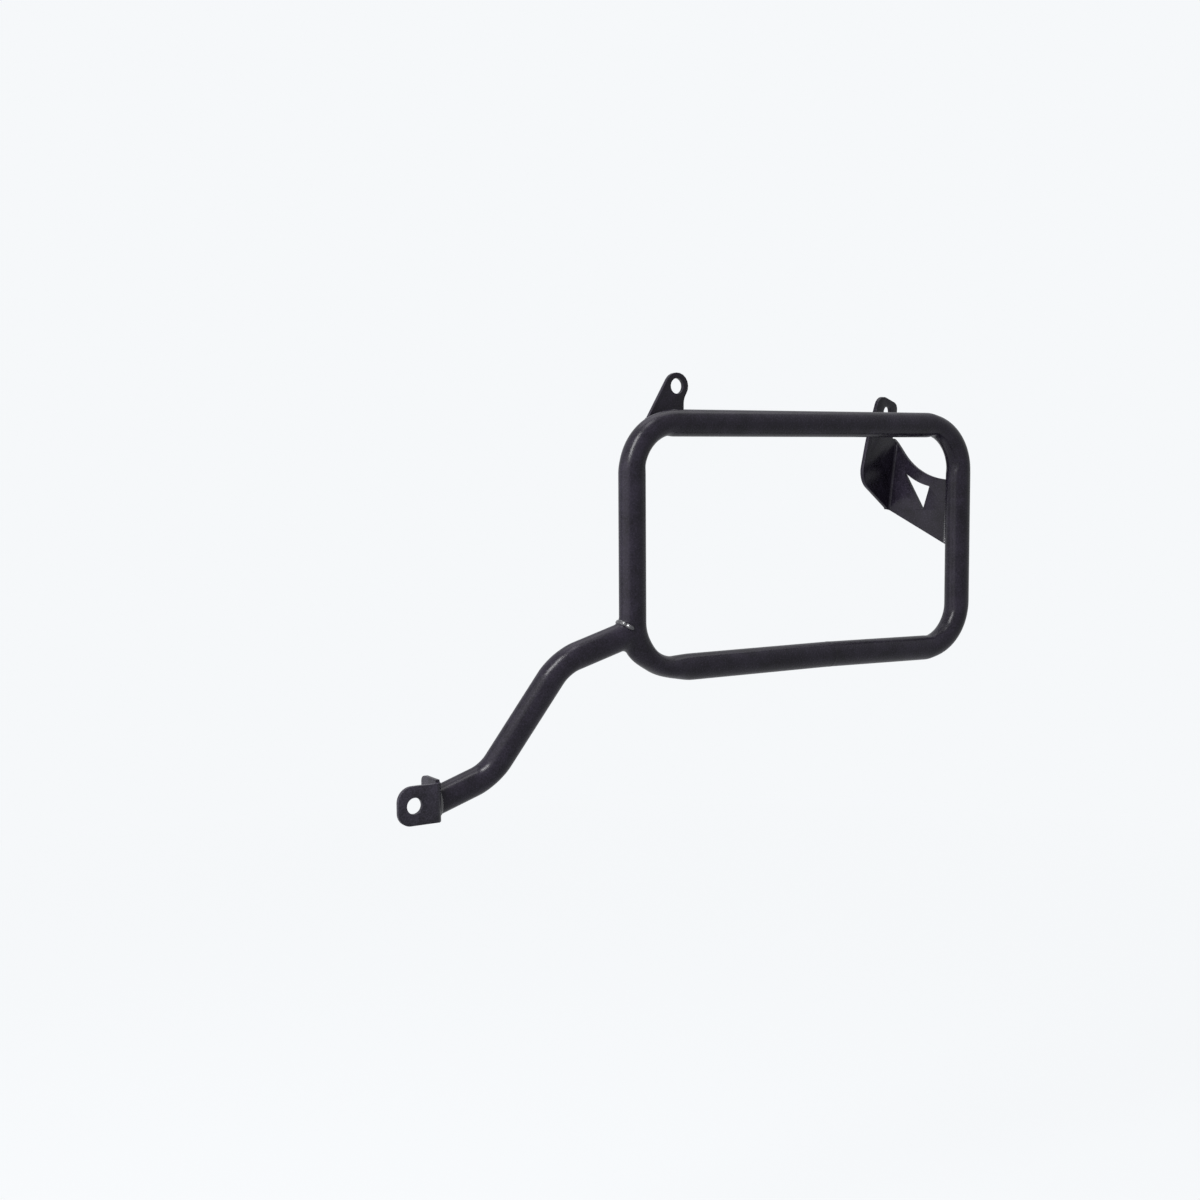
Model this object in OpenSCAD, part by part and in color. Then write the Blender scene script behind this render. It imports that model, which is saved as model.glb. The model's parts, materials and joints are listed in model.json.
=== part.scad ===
// Pannier frame for the left side of a motorcycle: a rounded tube loop that a soft bag hangs on,
// a bent stay that carries its lower corner forward, and three sheet brackets that bolt it on.
// Lengths are in millimetres. X runs rearward along the motorcycle, Y inward to the wheel, Z up.
// The origin is the middle of the front tab's bolt hole.

/* [Tube] */
// Outer diameter of the steel tube
tube_d = 18; // [15:0.5:20]
// Thickness of the tube's wall
tube_wall = 2; // [1:0.25:3]
// Radius of every tube bend, measured to the middle of the tube
bend_r = 33; // [27:1:38]

/* [Loop] */
// Distance between the middles of the loop's front and rear tubes
loop_l = 293; // [260:1:340]
// Distance between the middles of the loop's top and bottom tubes, at the front
loop_h = 163; // [145:1:185]
// Distance of the butt weld behind the front tube's middle
butt_x = 167; // [130:1:200]
// Angle by which the bottom run drops behind the butt weld
butt_kink = 1; // [0:0.25:2]
// Gap between the two tube ends that the butt weld fills
butt_gap = 2; // [1:0.25:3]

/* [Stay] */
// Height of the stay's top joint above the middle of the loop's bottom tube
stay_rise = 26.3; // [22:0.1:45]
// Tilt of the stay's plane, inward from the loop's plane
stay_tilt = 16.5; // [14:0.1:20]
// Distance of the upper bend ahead of the front tube
upper_bend_fwd = 52.4; // [48:0.1:60]
// Drop of the upper bend below the top joint, measured down the stay's plane
upper_bend_drop = 17.6; // [12:0.1:22]
// Distance of the lower bend ahead of the front tube
lower_bend_fwd = 93.9; // [88:0.1:100]
// Drop of the lower bend below the top joint, measured down the stay's plane
lower_bend_drop = 92.5; // [84:0.1:98]
// Gap left for the weld between the stay's coped end and the front tube
cope_gap = 0.3; // [0.2:0.05:0.6]
// Distance of the stay's cut end ahead of the front tube
stay_end_fwd = 131.5; // [126:0.1:145]
// Drop of the stay's cut end below the top joint, measured down the stay's plane
stay_end_drop = 107.1; // [103:0.1:112]

/* [Sheet and bolts] */
// Thickness of the bracket sheet
sheet = 3; // [2:0.25:4]
// Inside radius of the folds
fold_r = 2; // [1:0.25:3]
// Diameter of the M10 clearance holes in the front tab and the foot
m10_hole_d = 10.5; // [10.5:0.25:12]
// Diameter of the M8 clearance hole in the rear ear
m8_hole_d = 9; // [8.5:0.25:10]

/* [Front tab] */
// Distance of the tab's hole behind the front tube's middle
tab_hole_x = 48.2; // [44:0.1:60]
// Height of the tab's hole above the middle of the top tube
tab_hole_z = 25.2; // [22:0.1:32]
// Distance of the tab's outer face inward of the loop
tab_face_in = 17; // [14:0.25:22]
// Radius of the tab's round top
tab_lug_r = 9; // [8:0.25:11]
// Length of the tab's base along the top tube
tab_base_l = 32; // [28:0.5:36]
// Distance of the tab's rear edge behind its hole
tab_rear = 5.3; // [4:0.1:7]
// Radius between the tab's rear edge and its round top
tab_neck_r = 12; // [8:0.5:18]

/* [Foot bracket] */
// Length of the foot's bolt plate ahead of the stay's cut end
foot_l = 31.1; // [28:0.1:38]
// Height of the foot's bolt plate
foot_h = 24.9; // [23:0.1:30]
// Distance of the foot's hole behind the front edge of its plate
foot_hole_edge = 11.2; // [10.5:0.1:15]
// Height of the foot's hole above the middle of the stay's cut end
foot_hole_up = 2.1; // [0:0.1:4]
// Radius of the bolt plate's upper front corner
foot_top_r = 10; // [5:0.5:11]
// Radius of the bolt plate's lower front corner
foot_low_r = 8.5; // [5:0.5:11]
// Distance of the plate's outer face outward of the middle of the stay's cut end
foot_out = 13.4; // [13:0.1:18]
// Depth of the foot's folded leg, from the outer face
foot_leg_d = 25.5; // [25:0.1:30]
// Height by which the folded leg stands above and below the bolt plate
foot_leg_step = 1.3; // [0.5:0.1:3]
// Radius of the folded leg's inner corners
foot_leg_r = 4; // [2:0.5:6]

/* [Rear bracket] */
// Drop of the middle of the bracket's weld below the top tube
arm_drop = 65; // [60:0.5:75]
// Distance from the rear tube's middle to the bracket's mounting face
arm_l = 63.3; // [55:0.1:75]
// Turn of the bracket about the upright axis
arm_yaw = 11; // [5:0.5:15]
// Lean of the bracket's fold towards the rear
arm_lean = 4.3; // [0:0.1:6]
// Lean of the bracket's fold towards the loop
arm_pitch = 3.9; // [0:0.1:6]
// Height of the fold's lower end above the middle of the weld
fold_low = -3.3; // [-8:0.1:0]
// Height of the fold's upper end above the middle of the weld
fold_top = 51.8; // [46:0.1:56]
// Length of the weld between the bracket and the rear tube
arm_weld_l = 49; // [40:0.5:52]
// Radius of the arm's hollow upper edge
arm_hollow_r = 54; // [40:1:64]
// Width of the mounting face at its widest, ahead of the fold
face_w = 38.1; // [35:0.1:44]
// Radius of the mounting face's lower front corner
face_low_r = 16; // [12:1:24]
// Height of the ear's top above the middle of the weld
ear_top = 83.8; // [80:0.1:90]
// Width of the ear across its top
ear_w = 23; // [20:0.25:25]
// Distance of the ear's hole ahead of the fold
ear_hole_fwd = 15.1; // [13:0.1:18]
// Distance of the ear's hole below the ear's top
ear_hole_drop = 12.7; // [10:0.1:14]
// Width of the relief cut above the fold
relief_w = 2.4; // [1.5:0.1:3.5]
// Width of the band that the cut-out leaves along the arm's hollow edge
cutout_band = 10; // [7:0.25:12]
// Radius of the cut-out's corners
cutout_r = 0.5; // [0.5:0.25:2]

/* [Welds] */
// Leg of the fillet welds on the front tab and the rear bracket
weld_leg = 3; // [2:0.25:4]
// Leg of the fillet welds at the two ends of the stay
stay_weld_leg = 1.8; // [1.5:0.1:3]
// Run of the tab's upper weld past the front of its base
weld_runout = 4; // [0:0.5:4]

/* [Hidden] */
coat = "#2b2b2e";
bead = "#343438";
tube_r = tube_d / 2;
bore_r = tube_r - tube_wall;
toe_r = tube_r + weld_leg;
stay_toe_r = tube_r + stay_weld_leg;
fold_out_r = fold_r + sheet;
round_fn = 72;
sweep_fn = 72;
arc_steps = 10;
// Length that a cutting shape runs past the surface it cuts
past = 1;
// Length by which a straight tube runs into a bend, and how much larger the bend is so that it closes over it
lap = 0.3;
swell = 0.02;

// Arm of the rear bracket: ends of its straight edges at the rear tube, measured from the weld's ends,
// then the corner of its hollow edge as a part of its length and as a slope
arm_high_drop = 1.6;
arm_low_drop = 3.3;
hollow_at = 0.64;
hollow_slope = 3.9;
hollow_end = 1.7;
// Corners of the arm's cut-out: parts of the arm's length, and heights from the hollow's corner or the fold's lower end
cutout_high = [0.84, 1.6];
cutout_side = [0.64, 4.1];
cutout_tip = [0.441, 1.9];
cutout_low = [0.5, 2.4];
// Ear: drop and radius of its rear corner, radius of its front corner
ear_back_drop = 5.5;
ear_back_r = 6;
ear_front_r = 8;
// Mounting face: upper corner as a part of its width, its height from the fold's upper end and its radius,
// then the height of its widest place above the fold's lower end
face_high = [0.9, -1.4, 150];
face_side_up = 20.5;
// Length by which the arm's welds stop short of the arm's upper end
arm_weld_short = 3;

// Corners of the loop's centre line and the place where its ends meet
butt = [butt_x, 0, -loop_h];
front_top = [0, 0, 0];
rear_top = [loop_l, 0, 0];
front_low = [0, 0, -loop_h];
rear_low = [loop_l, 0, -loop_h - (loop_l - butt_x) * tan(butt_kink)];
butt_dir = unit(rear_low - butt);
end_front = butt - [butt_gap / 2, 0, 0];
end_rear = butt + butt_dir * butt_gap / 2;
loop_path = [end_rear, rear_low, rear_top, front_top, front_low, end_front];

// Stay's centre line in its own upright plane, from its top joint to past its cut end
joint = [0, 0, stay_rise - loop_h];
stay_top = [0, 0, 0];
upper_bend = [-upper_bend_fwd, 0, -upper_bend_drop];
lower_bend = [-lower_bend_fwd, 0, -lower_bend_drop];
stay_cut = [-stay_end_fwd, 0, -stay_end_drop];
stay_past = stay_cut + unit(stay_cut - lower_bend) * tube_d;
stay_path = [stay_top, upper_bend, lower_bend, stay_past];
// Middle of the stay's cut end, seen from the loop's front top corner
stay_end = joint + [stay_cut.x, -stay_cut.z * sin(stay_tilt), stay_cut.z * cos(stay_tilt)];

tab_hole = [tab_hole_x, tab_face_in + sheet / 2, tab_hole_z];
tab_base_x = tab_hole_x + tab_rear - tab_base_l;
foot_hole_z = stay_end.z + foot_hole_up;
foot_face_y = stay_end.y - foot_out;
arm_foot = [loop_l, 0, -arm_drop];
ear_hole_z = ear_top - ear_hole_drop;

function unit(v) = v / norm(v);
function turn(a, b) = atan2(norm(cross(a, b)), a * b);

// Points of an arc from angle a to angle b
function arc(centre, r, a, b) =
    [for (i = [0:arc_steps]) let (t = a + (b - a) * i / arc_steps) centre + r * [cos(t), sin(t)]];

// Arc of radius r that rounds the corner at b, on the way from a to c
function corner_arc(a, b, c, r) =
    let (
        to_a = unit(a - b),
        to_c = unit(c - b),
        half = turn3(to_a, to_c) / 2,
        centre = b + unit(to_a + to_c) * r / sin(half),
        from = b + to_a * r / tan(half) - centre,
        to = b + to_c * r / tan(half) - centre,
        start = atan2(from.y, from.x),
        sweep = sign(from.x * to.y - from.y * to.x) * (180 - 2 * half)
    )
    arc(centre, r, start, start + sweep);
function turn3(a, b) = turn([a.x, a.y, 0], [b.x, b.y, 0]);

// Outline through the given points, each written as [x, y, corner radius]
function rounded(points) = [
    for (i = [0:len(points) - 1])
        let (
            n = len(points),
            a = points[(i + n - 1) % n],
            b = points[i],
            c = points[(i + 1) % n]
        )
        each (b.z == 0 ? [[b.x, b.y]] : corner_arc([a.x, a.y], [b.x, b.y], [c.x, c.y], b.z))
];

// Moves a shape drawn about the loop's front top corner to the part's origin
module placed() translate(-tab_hole) children();

// Stands children at p with their Z axis along d and their X axis towards side
module stand(p, d, side) {
    z = unit(d);
    y = unit(cross(z, side));
    x = cross(y, z);
    multmatrix([[x.x, y.x, z.x, p.x], [x.y, y.y, z.y, p.y], [x.z, y.z, z.z, p.z], [0, 0, 0, 1]])
        children();
}

// Length of straight tube that the bend at b takes up on each side
function bend_reach(a, b, c) = bend_r * tan(turn(b - a, c - b) / 2);

// Round bar of radius r bent at b, where the path turns from a to c
module bend(a, b, c, r) {
    d = unit(b - a);
    normal = unit(cross(d, c - b));
    start = b - d * bend_reach(a, b, c);
    centre = start + cross(normal, d) * bend_r;
    stand(centre, normal, start - centre)
        rotate_extrude(angle = turn(d, c - b), $fn = sweep_fn)
            translate([bend_r, 0])
                circle(r = r, $fn = round_fn);
}

// Straight round bar of radius r from a to b
module run(a, b, r, side) stand(a, b - a, side) cylinder(r = r, h = norm(b - a), $fn = round_fn);

// Round bar of radius r along a path, with a bend at each inner point
module bar(path, r, side) {
    last = len(path) - 1;
    for (i = [0:last - 1]) {
        d = unit(path[i + 1] - path[i]);
        cut_a = i == 0 ? 0 : bend_reach(path[i - 1], path[i], path[i + 1]) - lap;
        cut_b = i == last - 1 ? 0 : bend_reach(path[i], path[i + 1], path[i + 2]) - lap;
        run(path[i] + d * cut_a, path[i + 1] - d * cut_b, r, side);
    }
    for (i = [1:last - 1]) bend(path[i - 1], path[i], path[i + 1], r + swell);
}

// Bar along the top tube and down the front corner, for what is fitted there
module top_front_bar(r) bar([rear_top, front_top, joint], r, [0, 1, 0]);

// Bar down the front tube and round its lower corner, for what is fitted there
module front_bar(r) bar([front_top, front_low, end_front], r, [0, 1, 0]);

// Section of a sheet folded square: legs run along -X and -Y from an outside corner at the origin
module fold_section(leg_x, leg_y) {
    translate([-leg_x, -sheet]) square([leg_x - fold_out_r, sheet]);
    translate([-sheet, -leg_y]) square([sheet, leg_y - fold_out_r]);
    translate([-fold_out_r, -fold_out_r])
        intersection() {
            difference() {
                circle(r = fold_out_r, $fn = round_fn);
                circle(r = fold_r, $fn = round_fn);
            }
            square(fold_out_r);
        }
}

// Prism along Y from a flat outline drawn in X and Z
module face_prism(outline, y, depth)
    translate([0, y + depth, 0]) rotate([90, 0, 0]) linear_extrude(depth) polygon(outline);

// Prism along X from a flat outline drawn in Y and Z
module side_prism(outline, x, depth)
    translate([x, 0, 0]) rotate([90, 0, 90]) linear_extrude(depth) polygon(outline);

// Tilts the stay's upright plane about its top joint
module on_stay() translate(joint) rotate([stay_tilt, 0, 0]) children();

// One bent tube, open at the two ends that meet in the bottom run
module loop_tube()
    color(coat)
        placed()
            difference() {
                bar(loop_path, tube_r, [0, 1, 0]);
                bar(loop_path, bore_r, [0, 1, 0]);
            }

// Ring of weld between the loop's two ends, ground flush with the tube
module loop_butt_weld()
    color(bead)
        placed()
            difference() {
                run(end_front, butt + [butt_gap, 0, 0], tube_r, [0, 1, 0]);
                run(end_front, butt + [butt_gap, 0, 0], bore_r, [0, 1, 0]);
                run(end_rear, end_rear + butt_dir * tube_d, tube_d, [0, 1, 0]);
            }

// Bent tube, coped to the front tube at its top and cut upright at its foot
module stay_tube()
    color(coat)
        placed()
            difference() {
                on_stay()
                    difference() {
                        bar(stay_path, tube_r, [0, 1, 0]);
                        bar(stay_path, bore_r, [0, 1, 0]);
                    }
                front_bar(tube_r + cope_gap);
                translate([stay_end.x - 2 * tube_d, stay_end.y - tube_d, stay_end.z - tube_d])
                    cube(2 * tube_d);
            }

// Fillet around the stay's coped end
module stay_weld()
    color(bead)
        placed()
            difference() {
                intersection() {
                    on_stay() run(stay_top, upper_bend, stay_toe_r, [0, 1, 0]);
                    front_bar(stay_toe_r);
                }
                on_stay() run(-upper_bend, upper_bend, tube_r, [0, 1, 0]);
                front_bar(tube_r);
            }

// Outline of the foot's folded leg in Y and Z
function foot_leg_outline() =
    let (
        y0 = foot_face_y + fold_out_r,
        y1 = foot_face_y + foot_leg_d,
        z0 = foot_hole_z - foot_h / 2 - foot_leg_step,
        z1 = foot_hole_z + foot_h / 2 + foot_leg_step
    )
    rounded([[y0, z0, 0], [y1, z0, foot_leg_r], [y1, z1, foot_leg_r], [y0, z1, 0]]);

// Folded foot: a bolt plate along the motorcycle and a leg that closes the stay's cut end
module foot_bracket() {
    x0 = stay_end.x - foot_l;
    z0 = foot_hole_z - foot_h / 2;
    z1 = foot_hole_z + foot_h / 2;
    plate = rounded([
        [x0, z0, foot_low_r], [stay_end.x + past, z0, 0], [stay_end.x + past, z1, 0], [x0, z1, foot_top_r]
    ]);
    color(coat)
        placed()
            difference() {
                intersection() {
                    translate([stay_end.x, foot_face_y, z0 - foot_h])
                        linear_extrude(3 * foot_h)
                            mirror([0, 1])
                                fold_section(foot_l + past, foot_leg_d + past);
                    union() {
                        face_prism(plate, foot_face_y - past, fold_out_r + past);
                        side_prism(foot_leg_outline(), stay_end.x - sheet - past, sheet + 2 * past);
                    }
                }
                translate([x0 + foot_hole_edge, foot_face_y + sheet + past, foot_hole_z])
                    rotate([90, 0, 0])
                        cylinder(d = m10_hole_d, h = sheet + 2 * past, $fn = round_fn);
            }
}

// Fillet around the stay's cut end, kept to the leg that it sits on
module foot_weld()
    color(bead)
        placed()
            difference() {
                intersection() {
                    on_stay() run(lower_bend, stay_past, stay_toe_r, [0, 1, 0]);
                    side_prism(foot_leg_outline(), stay_end.x, stay_weld_leg);
                }
                on_stay() run(lower_bend, stay_past, tube_r, [0, 1, 0]);
            }

// Outline of the tab's upright plate in X and Z
function tab_outline() =
    let (
        hole = [tab_hole_x, tab_hole_z],
        base = [tab_base_x, -sheet / 2],
        to_hole = hole - base,
        slope = atan2(to_hole.y, to_hole.x) + asin(tab_lug_r / norm(to_hole)),
        rear_x = tab_hole_x + tab_rear,
        neck_x = rear_x + tab_neck_r,
        neck_dx = neck_x - hole.x,
        neck_dz = sqrt(pow(tab_lug_r + tab_neck_r, 2) - pow(neck_dx, 2)),
        meet = atan2(-neck_dz, neck_dx)
    )
    concat(
        [base],
        arc(hole, tab_lug_r, slope + 90, meet),
        arc([neck_x, hole.y - neck_dz], tab_neck_r, meet + 180, 180),
        [[rear_x, -sheet / 2]]
    );

// Folded tab: a flange on the tube's inner side and an upright plate with the bolt hole
module front_tab() {
    back_y = tab_face_in + sheet;
    rise = tab_hole_z + 2 * tab_lug_r;
    color(coat)
        placed()
            difference() {
                intersection() {
                    translate([tab_base_x - past, back_y, -sheet / 2])
                        rotate([90, 0, 90])
                            linear_extrude(tab_base_l + 2 * tab_lug_r)
                                mirror([0, 1])
                                    fold_section(back_y, rise);
                    union() {
                        face_prism(tab_outline(), tab_face_in - fold_r, fold_out_r + past);
                        translate([tab_base_x, 0, -sheet])
                            cube([tab_base_l, back_y - fold_out_r + past / 2, 2 * sheet]);
                    }
                }
                translate(tab_hole + [0, sheet, 0])
                    rotate([90, 0, 0])
                        cylinder(d = m10_hole_d, h = 2 * sheet, $fn = round_fn);
                top_front_bar(tube_r);
            }
}

// Fillet between the tab's flange and the tube, on the side given by low
module tab_weld(x, l, low)
    color(bead)
        placed()
            difference() {
                intersection() {
                    top_front_bar(toe_r);
                    translate([x, 0, low]) cube([l, toe_r, weld_leg]);
                }
                top_front_bar(tube_r);
            }

module tab_weld_upper() tab_weld(tab_base_x - weld_runout, tab_base_l + weld_runout, sheet / 2);

module tab_weld_lower() tab_weld(tab_base_x, tab_base_l, -sheet / 2 - weld_leg);

// Places a shape on the rear tube, with Y along the bracket's arm and X = 0 on the arm's front face
module on_rear_tube() translate(arm_foot) rotate([arm_pitch, arm_lean, arm_yaw]) children();

// Rear tube, drawn about the middle of the bracket's weld
module rear_bar(r) run(rear_low, rear_top, r, [0, 1, 0]);

// Heights of the arm's edges at the rear tube's middle
arm_high = arm_weld_l / 2 - arm_high_drop;
arm_low = -arm_weld_l / 2 - arm_low_drop;

// Corner of the hollow upper edge's two straight ends, in Y and Z
hollow = [hollow_at * arm_l, arm_high + hollow_at * arm_l * tan(hollow_slope)];

// Outline of the arm in Y and Z
function arm_outline() =
    let (y_out = arm_l + sheet + past)
    rounded([
        [0, arm_low, 0], [y_out, arm_low + y_out * (fold_low - arm_low) / arm_l, 0], [y_out, fold_top, 0],
        [arm_l + hollow_end, fold_top, 0], [hollow.x, hollow.y, arm_hollow_r], [0, arm_high, 0]
    ]);

// Three-cornered cut-out in the arm, its upper side following the hollow edge
function cutout_outline() = rounded([
    [cutout_high.x * arm_l, hollow.y + cutout_high.y, cutout_r],
    [cutout_side.x * arm_l, hollow.y + cutout_side.y - cutout_band, arm_hollow_r],
    [cutout_tip.x * arm_l, hollow.y + cutout_tip.y - cutout_band, cutout_r],
    [cutout_low.x * arm_l, fold_low + cutout_low.y, cutout_r]
]);

// Outline of the mounting face and its ear in X and Z
function mount_face_outline() =
    let (ear_back = -fold_r - relief_w / 2)
    rounded([
        [lap - fold_r, fold_low, 0],
        [lap - fold_r, fold_top, 0],
        [-fold_r - relief_w, fold_top, 0],
        [-fold_r - relief_w, fold_top + relief_w, 0],
        [-fold_r, fold_top + relief_w, 0],
        [ear_back, ear_top - ear_back_drop, ear_back_r],
        [ear_back - ear_w, ear_top, ear_front_r],
        [-face_high.x * face_w, fold_top + face_high.y, face_high.z],
        [-face_w, fold_low + face_side_up, face_low_r],
        [-fold_r, fold_low + fold_r * face_side_up / face_w, 0]
    ]);

// Folded rear bracket: an arm on the rear tube, a mounting face and an ear with the bolt hole
module rear_bracket() {
    z0 = arm_low - past;
    color(coat)
        placed()
            difference() {
                on_rear_tube()
                    difference() {
                        intersection() {
                            translate([sheet, arm_l + sheet, z0])
                                linear_extrude(ear_top - z0 + past)
                                    fold_section(face_w + 2 * sheet, arm_l + sheet);
                            union() {
                                face_prism(mount_face_outline(), arm_l - fold_r, fold_out_r + past);
                                side_prism(arm_outline(), -fold_r, fold_out_r + past);
                            }
                        }
                        side_prism(cutout_outline(), -past, sheet + 2 * past);
                        translate([-ear_hole_fwd, arm_l + sheet + past, ear_hole_z])
                            rotate([90, 0, 0])
                                cylinder(d = m8_hole_d, h = sheet + 2 * past, $fn = round_fn);
                    }
                rear_bar(tube_r);
            }
}

// Fillet between the arm and the rear tube, starting at x across the arm
module arm_weld(x)
    color(bead)
        placed()
            difference() {
                intersection() {
                    rear_bar(toe_r);
                    on_rear_tube()
                        translate([x, 0, -arm_weld_l / 2])
                            cube([weld_leg, 2 * toe_r, arm_weld_l - arm_weld_short]);
                }
                rear_bar(tube_r);
            }

module arm_weld_front() arm_weld(-weld_leg);

module arm_weld_rear() arm_weld(sheet);

loop_tube();
loop_butt_weld();
stay_tube();
stay_weld();
foot_bracket();
foot_weld();
front_tab();
tab_weld_upper();
tab_weld_lower();
rear_bracket();
arm_weld_front();
arm_weld_rear();
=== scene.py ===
"""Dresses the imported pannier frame: bent tubes, softened brackets, weld beads, powder coat."""

import json
import logging
import math
from collections.abc import Callable
from dataclasses import dataclass, field, replace
from enum import Enum

import bmesh
import bpy
from mathutils import Matrix, Vector

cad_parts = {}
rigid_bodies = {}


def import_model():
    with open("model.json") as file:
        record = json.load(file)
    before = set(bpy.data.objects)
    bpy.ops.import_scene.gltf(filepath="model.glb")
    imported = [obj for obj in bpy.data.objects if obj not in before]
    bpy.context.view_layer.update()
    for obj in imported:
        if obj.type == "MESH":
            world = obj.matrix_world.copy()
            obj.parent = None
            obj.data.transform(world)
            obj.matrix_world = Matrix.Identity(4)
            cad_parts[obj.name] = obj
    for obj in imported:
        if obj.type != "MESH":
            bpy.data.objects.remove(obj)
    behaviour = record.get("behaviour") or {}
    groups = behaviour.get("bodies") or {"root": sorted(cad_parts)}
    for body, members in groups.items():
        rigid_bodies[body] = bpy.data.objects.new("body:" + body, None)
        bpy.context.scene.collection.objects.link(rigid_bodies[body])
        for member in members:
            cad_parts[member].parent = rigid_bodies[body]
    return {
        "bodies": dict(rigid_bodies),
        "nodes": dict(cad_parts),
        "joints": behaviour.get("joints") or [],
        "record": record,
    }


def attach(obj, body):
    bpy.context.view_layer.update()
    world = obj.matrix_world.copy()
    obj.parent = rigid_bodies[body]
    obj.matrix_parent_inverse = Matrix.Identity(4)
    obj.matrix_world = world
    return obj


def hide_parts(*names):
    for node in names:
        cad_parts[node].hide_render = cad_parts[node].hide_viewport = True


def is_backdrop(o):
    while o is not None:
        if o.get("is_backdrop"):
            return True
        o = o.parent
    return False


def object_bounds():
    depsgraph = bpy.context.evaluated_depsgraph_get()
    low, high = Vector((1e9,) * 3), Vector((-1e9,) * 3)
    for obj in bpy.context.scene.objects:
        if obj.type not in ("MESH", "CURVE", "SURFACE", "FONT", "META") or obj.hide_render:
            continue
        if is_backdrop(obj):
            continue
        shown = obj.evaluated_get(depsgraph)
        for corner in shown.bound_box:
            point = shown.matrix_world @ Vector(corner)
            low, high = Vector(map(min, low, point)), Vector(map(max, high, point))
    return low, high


Triple = tuple[float, float, float]
Span = tuple[float, float]
Tree = bpy.types.NodeTree
Node = bpy.types.Node
Socket = bpy.types.NodeSocket
Object = bpy.types.Object
Material = bpy.types.Material
Mesh = bpy.types.Mesh

MM = 0.001
BODY = "root"
INWARD = Vector((0, 1, 0))
# Number of vertices round a tube, and of places round a seam
SIDES = 72
# Angle in degrees above which an edge of a swept mesh stays sharp
SHARP_ANGLE = 35.0
# Times that a search by halving halves its range
HALVINGS = 40
# Values between which a noise, and the sum of two noises, mostly lie
NOISE_SPAN = (0.3, 0.7)
NOISE_SUM_SPAN = (0.75, 1.25)

log = logging.getLogger("pannier_frame")


def remap(tree: Tree, value: Socket, source: Span, target: Span) -> Socket:
    """Adds a node that stretches a value from one range to another and keeps it in the second.

    Args:
        tree: tree that gets the node.
        value: the value.
        source: range that it comes from.
        target: range that it goes to.

    Returns:
        The stretched value.
    """
    node = tree.nodes.new("ShaderNodeMapRange")
    node.inputs["From Min"].default_value, node.inputs["From Max"].default_value = source
    node.inputs["To Min"].default_value, node.inputs["To Max"].default_value = target
    tree.links.new(value, node.inputs["Value"])
    return node.outputs["Result"]


def calculate(tree: Tree, operation: str, *values: Socket | float) -> Socket:
    """Adds a math node.

    Args:
        tree: tree that gets the node.
        operation: what it does.
        values: its sockets or plain numbers, in order.

    Returns:
        Its result.
    """
    node = tree.nodes.new("ShaderNodeMath")
    node.operation = operation
    for value, socket in zip(values, node.inputs):
        if isinstance(value, Socket):
            tree.links.new(value, socket)
        else:
            socket.default_value = value
    return node.outputs["Value"]


class Finish(Enum):
    """Surfaces that the powder coat shows: over plain steel, on the foot, where a paler colour
    paints the light on its plate, and over weld metal.
    """

    STEEL = "coat_on_steel"
    # Same coat as on steel, made paler to paint the light that falls on the foot's plate
    FOOT_PAINTED_LIGHT = "coat_on_foot"
    WELD = "coat_on_weld"


@dataclass(frozen=True)
class Pattern:
    """A noise that follows object coordinates, with the width of its grains in metres, the number
    of its finer layers and how strongly they show."""

    width: float
    detail: float
    rough: float

    def lay(self, tree: Tree, place: Socket) -> Socket:
        """Adds the noise to a material.

        Args:
            tree: the material's tree.
            place: object coordinates.

        Returns:
            The noise's value.
        """
        noise = tree.nodes.new("ShaderNodeTexNoise")
        noise.inputs["Scale"].default_value = 1 / self.width
        noise.inputs["Detail"].default_value = self.detail
        noise.inputs["Roughness"].default_value = self.rough
        tree.links.new(place, noise.inputs["Vector"])
        return noise.outputs["Fac"]


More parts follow.
